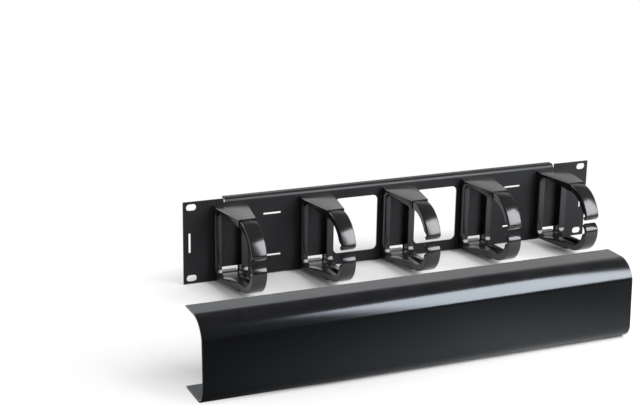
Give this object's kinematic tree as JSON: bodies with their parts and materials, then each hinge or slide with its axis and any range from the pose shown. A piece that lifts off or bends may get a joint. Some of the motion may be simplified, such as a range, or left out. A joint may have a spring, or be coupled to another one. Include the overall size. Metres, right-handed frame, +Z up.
{
  "type": "horizontal cable manager",
  "caption": "Two-unit 19-inch rack panel with a row of slotted-mouth D-rings for patch cables, cable windows and a lift-off C-section cover.",
  "frame": {"origin": "centre of the four rack holes, on the panel's rear face", "axes": "+X to the right seen from the front, +Y into the rack, +Z up"},
  "size_m": [0.5603, 0.3003, 0.0882],
  "materials": {
    "panel_paint": "satin black powder coat",
    "ring_plastic": "glossy black moulding",
    "cover_plastic": "semi-gloss black extrusion"
  },
  "bodies": {
    "panel": {"mounting_panel": "panel_paint", "d_ring_1": "ring_plastic", "d_ring_2": "ring_plastic", "d_ring_3": "ring_plastic", "d_ring_4": "ring_plastic", "d_ring_5": "ring_plastic"},
    "cover": {"front_cover": "cover_plastic"}
  },
  "joints": [
    {"name": "cover_on", "type": "slide", "parent": "panel", "child": "cover", "axis": [0.4905, 0.871, 0.0277], "range_m": [0, 0.21814]}
  ]
}
